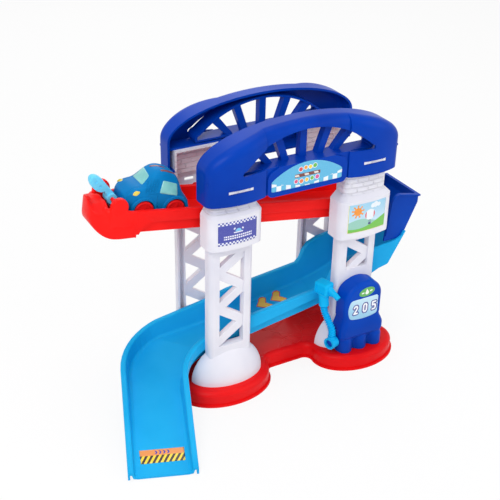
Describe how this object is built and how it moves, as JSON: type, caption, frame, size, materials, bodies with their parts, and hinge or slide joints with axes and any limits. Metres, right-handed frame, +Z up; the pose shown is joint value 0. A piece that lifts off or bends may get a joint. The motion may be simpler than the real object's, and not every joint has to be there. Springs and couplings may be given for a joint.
{
  "type": "toy car ramp",
  "caption": "Free-standing toy car ramp: a press lever kicks a small car down a sloped deck, through a chute and along a curved ramp, beside a toy fuel pump.",
  "frame": {"origin": "on the floor, midway between the four tower feet, under the middle of the deck", "axes": "+X along the deck towards its low end, +Y to the back, +Z up"},
  "size_m": [0.4628, 0.2535, 0.3522],
  "materials": {
    "base": "smooth moulded",
    "tower_front_left": "smooth moulded",
    "tower_rear_left": "smooth moulded",
    "tower_front_right": "smooth moulded",
    "tower_rear_right": "smooth moulded",
    "arch_front": "smooth moulded",
    "arch_rear": "smooth moulded",
    "deck": "smooth moulded",
    "lever_pin": "smooth moulded",
    "launch_lever": "smooth moulded",
    "chute": "smooth moulded",
    "ramp": "smooth moulded",
    "pump_body": "smooth moulded",
    "hose_eye": "smooth moulded",
    "pump_hose": "smooth moulded",
    "pump_nozzle": "smooth moulded",
    "car_body": "smooth moulded",
    "car_chassis": "smooth moulded",
    "car_front_axle": "plain drawn wire",
    "car_rear_axle": "plain drawn wire",
    "car_wheel_front_left": "smooth moulded",
    "car_wheel_front_right": "smooth moulded",
    "car_wheel_rear_left": "smooth moulded",
    "car_wheel_rear_right": "smooth moulded"
  },
  "bodies": {
    "frame": {"base": "base", "tower_front_left": "tower_front_left", "tower_rear_left": "tower_rear_left", "tower_front_right": "tower_front_right", "tower_rear_right": "tower_rear_right", "arch_front": "arch_front", "arch_rear": "arch_rear", "deck": "deck", "lever_pin": "lever_pin", "chute": "chute", "ramp": "ramp", "pump_body": "pump_body"},
    "lever": {"launch_lever": "launch_lever"},
    "car": {"car_body": "car_body", "car_chassis": "car_chassis"},
    "front_wheels": {"car_front_axle": "car_front_axle", "car_wheel_front_left": "car_wheel_front_left", "car_wheel_front_right": "car_wheel_front_right"},
    "rear_wheels": {"car_rear_axle": "car_rear_axle", "car_wheel_rear_left": "car_wheel_rear_left", "car_wheel_rear_right": "car_wheel_rear_right"},
    "nozzle": {"hose_eye": "hose_eye", "pump_hose": "pump_hose", "pump_nozzle": "pump_nozzle"}
  },
  "joints": [
    {"name": "lever_press", "type": "hinge", "parent": "frame", "child": "lever", "pos_m": [-0.21704, 0, 0.27679], "axis": [0, -1, 0], "range_deg": [0, 22]},
    {"name": "car_run", "type": "slide", "parent": "frame", "child": "car", "axis": [0.9874, 0, -0.158], "range_m": [0, 0.26]},
    {"name": "front_wheels_turn", "type": "hinge", "parent": "car", "child": "front_wheels", "pos_m": [-0.18631, 0, 0.26154], "axis": [0, 1, 0], "continuous": true},
    {"name": "rear_wheels_turn", "type": "hinge", "parent": "car", "child": "rear_wheels", "pos_m": [-0.1483, 0, 0.25546], "axis": [0, 1, 0], "continuous": true},
    {"name": "nozzle_swing", "type": "hinge", "parent": "frame", "child": "nozzle", "pos_m": [0.049, -0.067, 0.037], "axis": [0.9511, 0.309, 0], "range_deg": [0, 75]}
  ]
}
